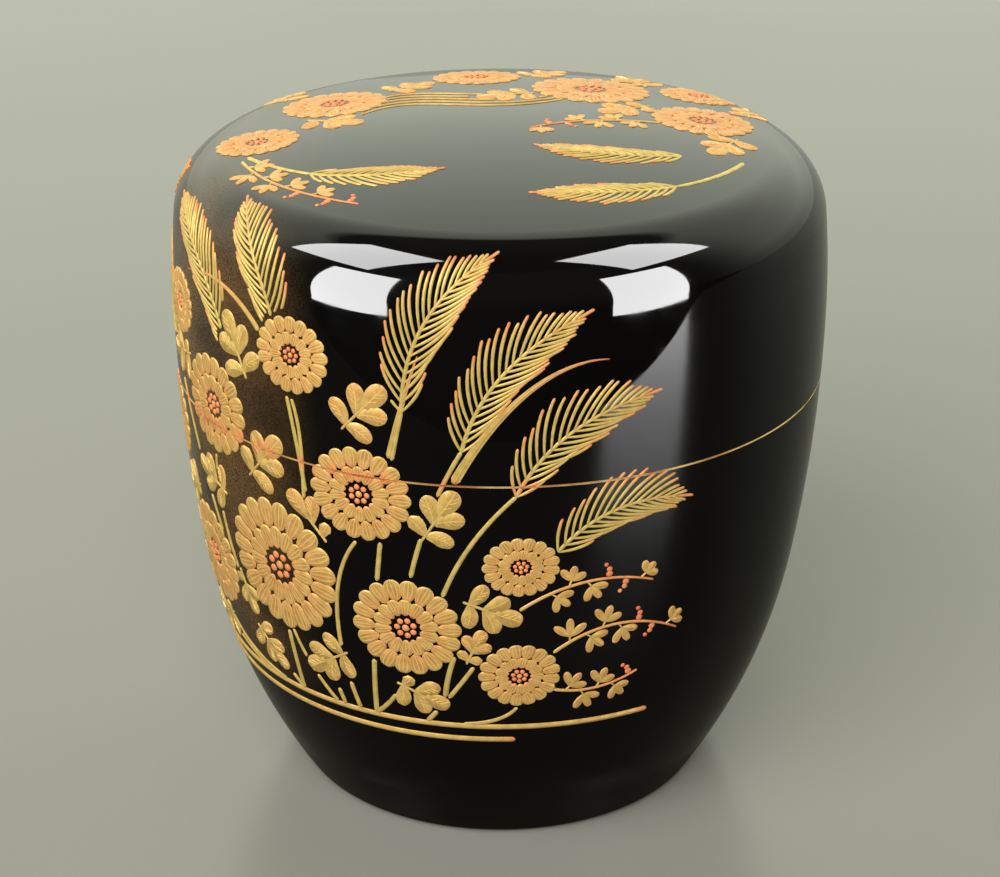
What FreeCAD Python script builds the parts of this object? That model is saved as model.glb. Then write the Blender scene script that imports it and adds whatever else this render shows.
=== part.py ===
"""A lacquered tea caddy for powdered tea: a turned wooden body with a standing collar, and a flush lid.

Lid and body are each a wood core between an outer and an inner coat of lacquer, and their meeting
edges are gold. All sizes are millimetres and degrees. The origin is the middle of the foot, +Z is up,
and the front looks along -Y.
"""

import FreeCAD, Part
import math
import os
import re
import Sketcher
from types import SimpleNamespace

# Driving dimensions. Each becomes a cell of the sheet under the same name.
SIZES = {
    # Outside of the closed caddy
    "caddy_diameter": 66.0,
    "seam_height": 44.2,
    "lid_height": 24.6,
    "widest_rise": 6.8,
    "dome_radius": 170.0,
    "shoulder_radius": 6.4,
    "upper_side_radius": 95.0,
    "side_radius": 162.0,
    "belly_start_height": 24.8,
    # Foot
    "foot_inset": 12.35,
    "foot_edge_radius": 1.2,
    "foot_ring_width": 3.2,
    "foot_recess": 0.8,
    # Layers
    "coat": 0.5,
    "lining": 0.4,
    "gold_edge": 0.1,
    "edge_break": 0.05,
    # Lid
    "lid_wall": 2.4,
    "lid_top": 3.0,
    "lid_corner_radius": 5.0,
    # Collar and well
    "collar_fit": 0.1,
    "collar_wall": 1.9,
    "collar_height": 8.5,
    "well_side_radius": 61.8,
    "floor_thickness": 4.0,
    "floor_inset": 5.5,
    "floor_corner_radius": 8.0,
    # Raised gold ground lines
    "relief": 0.15,
    "gold_seat": 0.02,
    "ground_line_width": 0.7,
    "ground_line_height": 15.2,
    "ground_line_gap": 1.0,
    "upper_line_end": 29.5,
    "lower_line_end": 3.0,
    "ground_line_sweep": 150.0,
}


def side_at(height):
    """The expression for the radius of the side's surface at a height near the seam."""
    return f"(caddy_diameter / 2 - side_radius + sqrt(side_radius ^ 2 - ({WIDEST} - {height}) ^ 2))"


# Sizes that follow from the driving ones, as expressions
WIDEST = "(seam_height + widest_rise)"
TOP = "(seam_height + lid_height)"
RIM = "(seam_height + gold_edge)"
SHELF = "(seam_height - gold_edge)"
FOOT_RADIUS = "(caddy_diameter / 2 - foot_inset)"
BORE_RADIUS = f"({side_at('seam_height')} - lid_wall)"
COLLAR_RADIUS = f"({BORE_RADIUS} - collar_fit)"

# The same sizes as numbers, for drawing a sketch before its constraints hold it
drawn = SimpleNamespace(**SIZES)
drawn.half = drawn.caddy_diameter / 2
drawn.widest = drawn.seam_height + drawn.widest_rise
drawn.top = drawn.seam_height + drawn.lid_height
drawn.rim = drawn.seam_height + drawn.gold_edge
drawn.shelf = drawn.seam_height - drawn.gold_edge
drawn.foot = drawn.half - drawn.foot_inset
drawn.seam_radius = drawn.half - drawn.side_radius + math.sqrt(drawn.side_radius**2 - drawn.widest_rise**2)
drawn.bore = drawn.seam_radius - drawn.lid_wall
drawn.collar = drawn.bore - drawn.collar_fit

# A sketch's own numbers for the points of an edge, and for its origin and vertical axis
START, END, CENTRE = range(1, 4)
ORIGIN, AXIS = range(-1, -3, -1)

# Bearing of the front from +X
FRONT = -90

doc = FreeCAD.newDocument("tea_caddy")


def fill_sheet():
    sheet = doc.addObject("Spreadsheet::Sheet", "Sizes")
    for row, (alias, value) in enumerate(SIZES.items(), start=1):
        sheet.set(f"A{row}", str(value))
        sheet.setAlias(f"A{row}", alias)
    doc.recompute()


def bound(expression):
    """The expression with every size read from the sheet."""
    return re.sub(r"[a-z_]+", lambda word: f"Sizes.{word[0]}" if word[0] in SIZES else word[0], expression)


def bearing(origin, target):
    """The direction from one point of a section to another, in degrees from +X."""
    return math.degrees(math.atan2(target[1] - origin[1], target[0] - origin[0]))


class HalfSection:
    """A closed outline on a body's XZ plane, which is turned about Z.

    Edges are drawn where they lie on the surface, and their constraints take them to their depth.
    """

    def __init__(self, label):
        self.body = doc.addObject("PartDesign::Body", label)
        self.sketch = self.body.newObject("Sketcher::SketchObject", label + "_section")
        plane = next(feature for feature in self.body.Origin.OriginFeatures if feature.Role == "XZ_Plane")
        self.sketch.AttachmentSupport = [(plane, "")]
        self.sketch.MapMode = "FlatFace"

    def line(self, start, end):
        return self.sketch.addGeometry(Part.LineSegment(FreeCAD.Vector(*start), FreeCAD.Vector(*end)))

    def arc(self, centre, radius, start, end):
        circle = Part.Circle(FreeCAD.Vector(*centre), FreeCAD.Vector(0, 0, 1), radius)
        return self.sketch.addGeometry(Part.ArcOfCircle(circle, math.radians(start), math.radians(end)))

    def tie(self, kind, *where):
        self.sketch.addConstraint(Sketcher.Constraint(kind, *where))

    def bind(self, kind, *where, to):
        """Adds a dimension and binds it to an expression of the sizes."""
        if kind == "Radius":
            now = self.sketch.Geometry[where[0]].Radius
        else:
            point = self.sketch.getPoint(*where)
            now = point.x if kind == "DistanceX" else point.y
            where = (ORIGIN, START, *where)
        index = self.sketch.addConstraint(Sketcher.Constraint(kind, *where, now))
        self.sketch.setExpression(f"Constraints[{index}]", bound(to))

    def guide(self, *edges):
        """Keeps edges only to hold the others in place."""
        for edge in edges:
            self.sketch.toggleConstruction(edge)

    def close(self, first, second):
        """Joins two ends of the outline, each an edge and a point of it, by a straight edge."""
        self.sketch.recompute()
        start, end = self.sketch.getPoint(*first), self.sketch.getPoint(*second)
        edge = self.line((start.x, start.y), (end.x, end.y))
        self.tie("Coincident", edge, START, *first)
        self.tie("Coincident", edge, END, *second)

    def turn(self):
        turned = self.body.newObject("PartDesign::Revolution", self.body.Label + "_turned")
        turned.Profile = self.sketch
        turned.ReferenceAxis = (self.sketch, ["V_Axis"])
        turned.Angle = 360
        return self.body


def lid_outside(section, depth):
    """The lid's side, shoulder and dome at a depth. Returns its ends at the rim and the axis."""
    side_centre = (drawn.half - drawn.side_radius, drawn.widest)
    upper_centre = (drawn.half - drawn.upper_side_radius, drawn.widest)
    dome_centre = (0, drawn.top - drawn.dome_radius)
    shoulder_centre = touching_both(upper_centre, drawn.upper_side_radius, dome_centre, drawn.dome_radius)
    shoulder_start = bearing(upper_centre, shoulder_centre)
    shoulder_end = bearing(dome_centre, shoulder_centre)
    side_start = bearing(side_centre, (drawn.seam_radius, drawn.rim))
    side = section.arc(side_centre, drawn.side_radius, side_start, 0)
    upper = section.arc(upper_centre, drawn.upper_side_radius, 0, shoulder_start)
    shoulder = section.arc(shoulder_centre, drawn.shoulder_radius, shoulder_start, shoulder_end)
    dome = section.arc(dome_centre, drawn.dome_radius, shoulder_end, 90)
    section.tie("Tangent", side, END, upper, START)
    section.tie("Tangent", upper, END, shoulder, START)
    section.tie("Tangent", shoulder, END, dome, START)
    section.tie("PointOnObject", dome, CENTRE, AXIS)
    section.tie("PointOnObject", dome, END, AXIS)
    section.bind("Radius", side, to=f"side_radius - {depth}")
    section.bind("Radius", upper, to=f"upper_side_radius - {depth}")
    section.bind("Radius", shoulder, to=f"shoulder_radius - {depth}")
    section.bind("Radius", dome, to=f"dome_radius - {depth}")
    section.bind("DistanceY", side, START, to=RIM)
    section.bind("DistanceX", side, END, to=f"caddy_diameter / 2 - {depth}")
    section.bind("DistanceY", side, END, to=WIDEST)
    section.bind("DistanceY", side, CENTRE, to=WIDEST)
    section.bind("DistanceY", dome, END, to=f"{TOP} - {depth}")
    return (side, START), (dome, END)


def touching_both(side_centre, side_radius, dome_centre, dome_radius):
    """The centre of the shoulder's arc, which touches the side's arc and the dome's from inside."""
    side_reach, dome_reach = side_radius - drawn.shoulder_radius, dome_radius - drawn.shoulder_radius
    across, up = dome_centre[0] - side_centre[0], dome_centre[1] - side_centre[1]
    way = math.hypot(across, up)
    along = (side_reach**2 - dome_reach**2 + way**2) / (2 * way)
    aside = math.sqrt(side_reach**2 - along**2)
    return (
        side_centre[0] + (across * along - up * aside) / way,
        side_centre[1] + (up * along + across * aside) / way,
    )


def lid_inside(section, depth):
    """The lid's bore and ceiling at a depth. Returns its ends at the rim and the axis."""
    ceiling_radius = drawn.dome_radius - drawn.lid_top
    ceiling_centre = (0, drawn.top - drawn.dome_radius)
    corner_across = drawn.bore - drawn.lid_corner_radius
    corner_up = math.sqrt((ceiling_radius - drawn.lid_corner_radius) ** 2 - corner_across**2)
    corner_centre = (corner_across, ceiling_centre[1] + corner_up)
    corner_end = bearing(ceiling_centre, corner_centre)
    wall = section.line((drawn.bore, drawn.rim), (drawn.bore, corner_centre[1]))
    corner = section.arc(corner_centre, drawn.lid_corner_radius, 0, corner_end)
    ceiling = section.arc(ceiling_centre, ceiling_radius, corner_end, 90)
    section.tie("Vertical", wall)
    section.tie("Tangent", wall, END, corner, START)
    section.tie("Tangent", corner, END, ceiling, START)
    section.tie("PointOnObject", ceiling, CENTRE, AXIS)
    section.tie("PointOnObject", ceiling, END, AXIS)
    section.bind("DistanceX", wall, START, to=f"{BORE_RADIUS} + {depth}")
    section.bind("DistanceY", wall, START, to=RIM)
    section.bind("Radius", corner, to=f"lid_corner_radius + {depth}")
    section.bind("Radius", ceiling, to=f"dome_radius - lid_top + {depth}")
    section.bind("DistanceY", ceiling, END, to=f"{TOP} - lid_top + {depth}")
    return (wall, START), (ceiling, END)


def body_outline(section, depth):
    """The body's outside at a depth, as its edges from the middle of the underside to the shelf."""
    ring_inside = drawn.foot - drawn.foot_ring_width
    side_centre = (drawn.half - drawn.side_radius, drawn.widest)
    edge_centre = (drawn.foot, drawn.foot_edge_radius)
    belly_lean = math.asin((drawn.widest - drawn.belly_start_height) / drawn.side_radius)
    outward = (math.cos(belly_lean), -math.sin(belly_lean))
    belly_top = tuple(side_centre[i] + drawn.side_radius * outward[i] for i in (0, 1))
    reach = tuple(belly_top[i] - edge_centre[i] for i in (0, 1))
    spare = reach[0] * outward[0] + reach[1] * outward[1] - drawn.foot_edge_radius
    belly_radius = (reach[0] ** 2 + reach[1] ** 2 - drawn.foot_edge_radius**2) / (2 * spare)
    belly_centre = tuple(belly_top[i] - belly_radius * outward[i] for i in (0, 1))
    belly_start, belly_end = bearing(belly_centre, edge_centre), -math.degrees(belly_lean)
    side_end = bearing(side_centre, (drawn.seam_radius, drawn.shelf))
    under = section.line((0, drawn.foot_recess), (ring_inside, drawn.foot_recess))
    step = section.line((ring_inside, drawn.foot_recess), (ring_inside, 0))
    ring = section.line((ring_inside, 0), (drawn.foot, 0))
    edge = section.arc(edge_centre, drawn.foot_edge_radius, -90, belly_start)
    belly = section.arc(belly_centre, belly_radius, belly_start, belly_end)
    side = section.arc(side_centre, drawn.side_radius, belly_end, side_end)
    section.tie("PointOnObject", under, START, AXIS)
    section.tie("Horizontal", under)
    section.tie("Coincident", under, END, step, START)
    section.tie("Vertical", step)
    section.tie("Coincident", step, END, ring, START)
    section.tie("Horizontal", ring)
    section.tie("Tangent", ring, END, edge, START)
    section.tie("Tangent", edge, END, belly, START)
    section.tie("Tangent", belly, END, side, START)
    section.bind("DistanceY", under, START, to=f"foot_recess + {depth}")
    section.bind("DistanceX", step, END, to=f"{FOOT_RADIUS} - foot_ring_width + {depth}")
    section.bind("DistanceY", ring, END, to=depth)
    section.bind("DistanceX", ring, END, to=FOOT_RADIUS)
    section.bind("Radius", edge, to=f"foot_edge_radius - {depth}")
    section.bind("Radius", side, to=f"side_radius - {depth}")
    section.bind("DistanceX", side, CENTRE, to="caddy_diameter / 2 - side_radius")
    section.bind("DistanceY", side, CENTRE, to=WIDEST)
    belly_rise = f"{depth} * ({WIDEST} - belly_start_height) / side_radius"
    section.bind("DistanceY", side, START, to=f"belly_start_height + {belly_rise}")
    section.bind("DistanceY", side, END, to=SHELF)
    return under, step, ring, edge, belly, side


def body_outside(section, depth):
    """The body's whole outside at a depth. Returns its ends at the shelf and the axis."""
    under, step, ring, edge, belly, side = body_outline(section, depth)
    return (side, END), (under, START)


def body_side(section, depth):
    """The body's outside without the foot. Returns its ends at the shelf and the foot."""
    under, step, ring, edge, belly, side = body_outline(section, depth)
    section.guide(under, step, ring, edge)
    return (side, END), (belly, START)


def foot_outside(section, depth):
    """The outside of the foot alone. Returns its ends at the side and the axis."""
    under, step, ring, edge, belly, side = body_outline(section, depth)
    section.guide(belly, side)
    return (edge, END), (under, START)


def body_inside(section, depth):
    """The collar and the well at a depth. Returns its ends at the shelf and the axis."""
    well = drawn.collar - drawn.collar_wall
    lip_radius = drawn.collar_wall / 2
    lip_centre = (well + lip_radius, drawn.seam_height + drawn.collar_height - lip_radius)
    floor_radius = drawn.foot - drawn.floor_inset
    corner_centre = (floor_radius, drawn.floor_thickness + drawn.floor_corner_radius)
    side_across = well - drawn.well_side_radius
    side_reach = drawn.well_side_radius - drawn.floor_corner_radius
    side_up = math.sqrt(side_reach**2 - (floor_radius - side_across) ** 2)
    side_centre = (side_across, corner_centre[1] + side_up)
    corner_end = bearing(side_centre, corner_centre)
    stand = section.line((drawn.collar, drawn.shelf), (drawn.collar, lip_centre[1]))
    lip = section.arc(lip_centre, lip_radius, 0, 180)
    wall = section.line((well, lip_centre[1]), (well, side_centre[1]))
    side = section.arc(side_centre, drawn.well_side_radius, corner_end, 0)
    corner = section.arc(corner_centre, drawn.floor_corner_radius, -90, corner_end)
    ground = section.line((0, drawn.floor_thickness), (floor_radius, drawn.floor_thickness))
    section.tie("Vertical", stand)
    section.tie("Tangent", stand, END, lip, START)
    section.tie("Tangent", lip, END, wall, START)
    section.tie("Vertical", wall)
    section.tie("Tangent", wall, END, side, END)
    section.tie("Tangent", side, START, corner, END)
    section.tie("Tangent", corner, START, ground, END)
    section.tie("Horizontal", ground)
    section.tie("PointOnObject", ground, START, AXIS)
    section.bind("DistanceX", stand, START, to=f"{COLLAR_RADIUS} - {depth}")
    section.bind("DistanceY", stand, START, to=SHELF)
    section.bind("Radius", lip, to=f"collar_wall / 2 - {depth}")
    section.bind("DistanceY", lip, CENTRE, to="seam_height + collar_height - collar_wall / 2")
    section.bind("Radius", side, to=f"well_side_radius + {depth}")
    section.bind("Radius", corner, to=f"floor_corner_radius + {depth}")
    section.bind("DistanceX", ground, END, to=f"{FOOT_RADIUS} - floor_inset")
    section.bind("DistanceY", ground, END, to=f"floor_thickness - {depth}")
    return (stand, START), (ground, START)


def turned_between(label, face, depth, other_face, other_depth):
    """A turned solid between two faces of the lid, or of the body, each at its own depth."""
    section = HalfSection(label)
    outer_end, inner_end = face(section, depth)
    other_outer_end, other_inner_end = other_face(section, other_depth)
    section.close(outer_end, other_outer_end)
    section.close(inner_end, other_inner_end)
    return section.turn()


def coat_on(label, face, thickness):
    """A coat of lacquer on a face of the lid or the body."""
    return turned_between(label, face, "0", face, thickness)


def gold_edge(label, inner_radius, drawn_inner_radius, up):
    """The gold on a meeting edge: a flat ring from the seam to the wood, with its outer corner broken."""
    section = HalfSection(label)
    sign, way = ("+", 1) if up else ("-", -1)
    break_height, wood_height = (f"(seam_height {sign} {rise})" for rise in ("edge_break", "gold_edge"))
    drawn_break = drawn.seam_height + way * drawn.edge_break
    drawn_wood = drawn.seam_height + way * drawn.gold_edge
    corners = [
        (inner_radius, "seam_height", drawn_inner_radius, drawn.seam_height),
        (f"{side_at('seam_height')} - edge_break", "seam_height", drawn.seam_radius, drawn.seam_height),
        (side_at(break_height), break_height, drawn.seam_radius, drawn_break),
        (side_at(wood_height), wood_height, drawn.seam_radius, drawn_wood),
        (inner_radius, wood_height, drawn_inner_radius, drawn_wood),
    ]
    points = [corner[2:] for corner in corners]
    edges = [section.line(points[at - 1], points[at]) for at in range(len(points))]
    for at, (radius, height, *_) in enumerate(corners):
        section.tie("Coincident", edges[at], END, edges[(at + 1) % len(edges)], START)
        section.bind("DistanceX", edges[at], END, to=radius)
        section.bind("DistanceY", edges[at], END, to=height)
    return section.turn()


def ground_line(label, relief_skin, height, end):
    """A raised gold line round the belly, from its end right of the front to the left and round the back."""
    slab = doc.addObject("Part::Cylinder", label + "_slab")
    slab.Placement.Rotation = FreeCAD.Rotation(FreeCAD.Vector(0, 0, 1), FRONT)
    slab.setExpression("Radius", bound("caddy_diameter"))
    slab.setExpression("Height", bound("ground_line_width"))
    slab.setExpression("Angle", bound("ground_line_sweep"))
    slab.setExpression("Placement.Base.z", bound(f"{height} - ground_line_width / 2"))
    slab.setExpression("Placement.Rotation.Angle", bound(f"{FRONT} + {end} - ground_line_sweep"))
    line = doc.addObject("Part::Common", label)
    line.Base = relief_skin
    line.Tool = slab
    return line


def body_nodes():
    relief_skin = turned_between("relief_skin", body_side, "(-relief)", body_side, "(-gold_seat)")
    upper_height = "ground_line_height + ground_line_width + ground_line_gap"
    return [
        turned_between("body_wood_core", body_outside, "coat", body_inside, "lining"),
        coat_on("body_outer_lacquer", body_side, "coat"),
        coat_on("foot_lacquer", foot_outside, "coat"),
        coat_on("body_inner_lacquer", body_inside, "lining"),
        gold_edge("body_gold_edge", COLLAR_RADIUS, drawn.collar, up=False),
        ground_line("ground_line_lower", relief_skin, "ground_line_height", "lower_line_end"),
        ground_line("ground_line_upper", relief_skin, upper_height, "upper_line_end"),
    ]


def lid_nodes():
    return [
        turned_between("lid_wood_core", lid_outside, "coat", lid_inside, "lining"),
        coat_on("lid_outer_lacquer", lid_outside, "coat"),
        coat_on("lid_inner_lacquer", lid_inside, "lining"),
        gold_edge("lid_gold_edge", BORE_RADIUS, drawn.bore, up=True),
    ]


def write_parts(nodes):
    """Writes one file for each node, once the whole document is sound."""
    doc.recompute()
    for item in doc.Objects:
        if "Invalid" in item.State or "Error" in item.State:
            raise RuntimeError(f"{item.Label} failed: {item.State}")
    for node in nodes:
        if node.Shape.isNull() or not node.Shape.isValid():
            raise RuntimeError(f"{node.Label} has no valid shape")
    os.makedirs("parts", exist_ok=True)
    for node in nodes:
        node.Shape.exportStep(f"parts/{node.Label}.step")
        print(f"{node.Label}: {len(node.Shape.Solids)} solids, {node.Shape.Volume:.1f} mm3")


fill_sheet()
write_parts(body_nodes() + lid_nodes())
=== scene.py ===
"""A tea caddy in black lacquer with gold edges and raised gold autumn flowers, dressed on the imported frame.

Sizes here are millimetres, as in the part's source, and become metres when a mesh is made. The front
looks along -Y. A bearing is measured round the caddy from the front, positive to the right, and a height
along the outside is measured from the seam, positive up the lid and negative down the body.
"""

import math
import random

import bmesh
import bpy
import numpy as np
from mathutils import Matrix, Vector


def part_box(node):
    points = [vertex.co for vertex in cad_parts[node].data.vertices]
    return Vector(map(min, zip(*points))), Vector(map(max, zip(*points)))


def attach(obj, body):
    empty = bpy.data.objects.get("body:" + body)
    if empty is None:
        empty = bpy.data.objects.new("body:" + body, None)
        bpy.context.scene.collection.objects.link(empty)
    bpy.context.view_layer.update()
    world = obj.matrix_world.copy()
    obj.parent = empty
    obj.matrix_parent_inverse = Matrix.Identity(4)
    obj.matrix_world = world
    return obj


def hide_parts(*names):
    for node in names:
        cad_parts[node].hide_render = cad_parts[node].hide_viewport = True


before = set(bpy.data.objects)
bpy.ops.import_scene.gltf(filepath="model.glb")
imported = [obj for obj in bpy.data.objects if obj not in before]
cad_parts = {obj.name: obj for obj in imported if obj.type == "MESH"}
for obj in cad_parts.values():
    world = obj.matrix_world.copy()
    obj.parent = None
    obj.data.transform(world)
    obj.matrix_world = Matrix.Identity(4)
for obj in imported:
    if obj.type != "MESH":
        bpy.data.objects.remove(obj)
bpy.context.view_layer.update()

MM = 0.001


def box_of(node):
    """The lowest and highest corners of a CAD node in millimetres, to a hundredth."""
    return np.round(np.array(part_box(node)) / MM, 2)


# Outside of the closed caddy: its main sizes from the frame, and the others as the part's source has them
HALF, _, TOP = box_of("lid_outer_lacquer")[1]
SEAM = box_of("lid_gold_edge")[0][2]
WIDEST = SEAM + 6.8
DOME_RADIUS = 170.0
SHOULDER_RADIUS = 6.4
UPPER_SIDE_RADIUS = 95.0
SIDE_RADIUS = 162.0
BELLY_START = 24.8
FOOT = HALF - 12.35
FOOT_EDGE_RADIUS = 1.2
FOOT_RING_WIDTH = 3.2
FOOT_RECESS = 0.8

# Layers, collar, well and bore
COAT = 0.5
LINING = 0.4
GOLD_EDGE = 0.1
EDGE_BREAK = 0.05
SEAM_RADIUS = HALF - SIDE_RADIUS + math.sqrt(SIDE_RADIUS**2 - (WIDEST - SEAM) ** 2)
BORE = SEAM_RADIUS - 2.4
LID_TOP = 3.0
LID_CORNER_RADIUS = 5.0
COLLAR = BORE - 0.1
COLLAR_WALL = 1.9
COLLAR_TOP = SEAM + 8.5
WELL_SIDE_RADIUS = 61.8
WELL_FLOOR = 4.0
WELL_FLOOR_RADIUS = FOOT - 5.5
WELL_CORNER_RADIUS = 8.0

# Ground lines: where their right ends lie, how far round they go, and how soon their red fades
LOWER_LINE_END = math.radians(3.0)
UPPER_LINE_END = math.radians(29.5)
LINE_SWEEP = math.radians(150.0)
LINE_RED_LENGTH = 0.8

# How finely round shapes are divided, and how close two points count as one
TURN_STEPS = 256
ROW_LENGTH = 1.0
ROW_ANGLE = math.radians(3)
SHARP_ANGLE = math.radians(35)
SAME_PLACE = 1e-7


# Outline of the outside


def spoke(angle):
    """Directions at these angles."""
    return np.stack([np.cos(angle), np.sin(angle)], axis=-1)


class Arc:
    """A round stretch of an outline, anticlockwise about its centre."""

    def __init__(self, centre, radius, start, end):
        self.centre = np.array(centre)
        self.radius = radius
        self.start = start
        self.end = end

    def length(self):
        return self.radius * (self.end - self.start)

    def at(self, angle, depth=0.0):
        return self.centre + (self.radius - depth) * spoke(angle)

    def points(self, depth=0.0):
        rows = max(self.length() / ROW_LENGTH, (self.end - self.start) / ROW_ANGLE)
        return self.at(np.linspace(self.start, self.end, math.ceil(rows) + 1), depth)

    def cut(self, height, depth):
        """The angle at which the arc, at a depth, passes a height beside its centre."""
        return math.asin((height - self.centre[1]) / (self.radius - depth))


def bearing_of(origin, target):
    return math.atan2(target[1] - origin[1], target[0] - origin[0])


def shoulder_centre(upper, dome):
    """The centre of the arc that touches the upper side and the dome from inside."""
    upper_reach, dome_reach = UPPER_SIDE_RADIUS - SHOULDER_RADIUS, DOME_RADIUS - SHOULDER_RADIUS
    way = dome - upper
    span = np.hypot(*way)
    along = (upper_reach**2 - dome_reach**2 + span**2) / (2 * span)
    aside = math.sqrt(upper_reach**2 - along**2)
    return upper + (way * along + np.array([-way[1], way[0]]) * aside) / span


def outside_arcs():
    """The arcs of the outside from the foot's edge to the top."""
    side = np.array([HALF - SIDE_RADIUS, WIDEST])
    upper = np.array([HALF - UPPER_SIDE_RADIUS, WIDEST])
    dome = np.array([0, TOP - DOME_RADIUS])
    shoulder = shoulder_centre(upper, dome)
    edge = np.array([FOOT, FOOT_EDGE_RADIUS])
    lean = math.asin((WIDEST - BELLY_START) / SIDE_RADIUS)
    outward = np.array([math.cos(lean), -math.sin(lean)])
    belly_top = side + SIDE_RADIUS * outward
    reach = belly_top - edge
    belly_radius = (reach @ reach - FOOT_EDGE_RADIUS**2) / (2 * (reach @ outward - FOOT_EDGE_RADIUS))
    belly = belly_top - belly_radius * outward
    belly_start = bearing_of(belly, edge)
    shoulder_start, shoulder_end = bearing_of(upper, shoulder), bearing_of(dome, shoulder)
    return (
        Arc(edge, FOOT_EDGE_RADIUS, -math.pi / 2, belly_start),
        Arc(belly, belly_radius, belly_start, -lean),
        Arc(side, SIDE_RADIUS, -lean, 0),
        Arc(upper, UPPER_SIDE_RADIUS, 0, shoulder_start),
        Arc(shoulder, SHOULDER_RADIUS, shoulder_start, shoulder_end),
        Arc(dome, DOME_RADIUS, shoulder_end, math.pi / 2),
    )


ARCS = outside_arcs()
FOOT_ARC, BELLY_ARC, SIDE_ARC, UPPER_ARC, SHOULDER_ARC, DOME_ARC = ARCS
ARC_STARTS = np.concatenate([[0], np.cumsum([arc.length() for arc in ARCS])])
SEAM_LENGTH = ARC_STARTS[2] + SIDE_RADIUS * (SIDE_ARC.cut(SEAM, 0) - SIDE_ARC.start)
TOP_ALONG = ARC_STARTS[-1] - SEAM_LENGTH


def outside_at(along):
    """Radius, height and outward direction of the outside at distances from the seam."""
    length = np.clip(np.asarray(along, float) + SEAM_LENGTH, 0, ARC_STARTS[-1])
    which = np.clip(np.searchsorted(ARC_STARTS, length, side="right") - 1, 0, len(ARCS) - 1)
    starts = np.array([arc.start for arc in ARCS])[which]
    radii = np.array([arc.radius for arc in ARCS])[which]
    centres = np.array([arc.centre for arc in ARCS])[which]
    angle = starts + (length - ARC_STARTS[which]) / radii
    outward = spoke(angle)
    return centres + radii[..., None] * outward, outward


def along_at(height):
    """The distance from the seam at which the body's side or belly has a height."""
    arc, start = (SIDE_ARC, ARC_STARTS[2]) if height > BELLY_START else (BELLY_ARC, ARC_STARTS[1])
    return start + arc.radius * (arc.cut(height, 0) - arc.start) - SEAM_LENGTH


def outside_point(bearing, along, lift):
    """Points on the outside, or that far above it."""
    place, outward = outside_at(along)
    lifted = place + outward * np.asarray(lift)[..., None]
    radius, height = lifted[..., 0], lifted[..., 1]
    return np.stack([radius * np.sin(bearing), -radius * np.cos(bearing), height], axis=-1)


# Turned shells


def add_object(name, data):
    """A new object in the scene."""
    added = bpy.data.objects.new(name, data)
    bpy.context.scene.collection.objects.link(added)
    return added


def add_mesh(name, mesh, body, material):
    mesh.materials.append(material)
    piece = add_object(name, mesh)
    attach(piece, body)
    return piece


def smooth(mesh, sharp_angle):
    mesh.polygons.foreach_set("use_smooth", [True] * len(mesh.polygons))
    mesh.set_sharp_from_angle(angle=sharp_angle)


def turned_mesh(name, outline):
    """A closed mesh turned about Z from a closed outline of radius and height."""
    angles = np.arange(TURN_STEPS) * 2 * math.pi / TURN_STEPS
    vertices, rings = [], []
    for radius, height in outline:
        steps = TURN_STEPS if radius > 0 else 1
        rings.append([len(vertices) + step % steps for step in range(TURN_STEPS + 1)])
        around = [(radius * math.cos(angle), radius * math.sin(angle), height) for angle in angles[:steps]]
        vertices += list(np.array(around) * MM)
    faces = []
    for ring, following in zip(rings, rings[1:] + rings[:1]):
        for step in range(TURN_STEPS):
            corners = dict.fromkeys((*ring[step:step + 2], following[step + 1], following[step]))
            if len(corners) > 2:
                faces.append(list(corners))
    mesh = bpy.data.meshes.new(name)
    mesh.from_pydata(vertices, [], faces)
    face_outwards(mesh)
    smooth(mesh, SHARP_ANGLE)
    return mesh


def face_outwards(mesh):
    shell = bmesh.new()
    shell.from_mesh(mesh)
    bmesh.ops.recalc_face_normals(shell, faces=shell.faces)
    shell.to_mesh(mesh)
    shell.free()


def chain(*stretches):
    """One outline from stretches, without the points that two of them share."""
    points = np.concatenate([np.reshape(stretch, (-1, 2)) for stretch in stretches])
    points[np.abs(points[:, 0]) < SAME_PLACE, 0] = 0
    repeated = np.all(np.abs(points - np.roll(points, 1, axis=0)) < SAME_PLACE, axis=1)
    return points[~repeated]


def side_stretch(start_height, end_height, depth):
    """The side's arc, at a depth, between two heights."""
    start, end = (SIDE_ARC.cut(height, depth) for height in (start_height, end_height))
    return Arc(SIDE_ARC.centre, SIDE_RADIUS, start, end).points(depth)


def lid_side(depth):
    rim = side_stretch(SEAM + GOLD_EDGE, WIDEST, depth)
    return chain(rim, UPPER_ARC.points(depth), SHOULDER_ARC.points(depth))


def lid_inside(depth):
    ceiling_centre = np.array([0, TOP - DOME_RADIUS])
    ceiling_radius = DOME_RADIUS - LID_TOP
    across = BORE - LID_CORNER_RADIUS
    up = math.sqrt((ceiling_radius - LID_CORNER_RADIUS) ** 2 - across**2)
    corner_centre = ceiling_centre + np.array([across, up])
    corner_end = bearing_of(ceiling_centre, corner_centre)
    corner = Arc(corner_centre, LID_CORNER_RADIUS, 0, corner_end)
    ceiling = Arc(ceiling_centre, ceiling_radius, corner_end, math.pi / 2)
    return chain((BORE + depth, SEAM + GOLD_EDGE), corner.points(-depth), ceiling.points(-depth))


def body_side(depth):
    lean = depth * (WIDEST - BELLY_START) / SIDE_RADIUS
    side = side_stretch(BELLY_START + lean, SEAM - GOLD_EDGE, depth)
    return chain(BELLY_ARC.points(depth), side)


def foot_outside(depth):
    ring_inside = FOOT - FOOT_RING_WIDTH + depth
    under = [(0, FOOT_RECESS + depth), (ring_inside, FOOT_RECESS + depth), (ring_inside, depth)]
    return chain(under, FOOT_ARC.points(depth))


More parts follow.
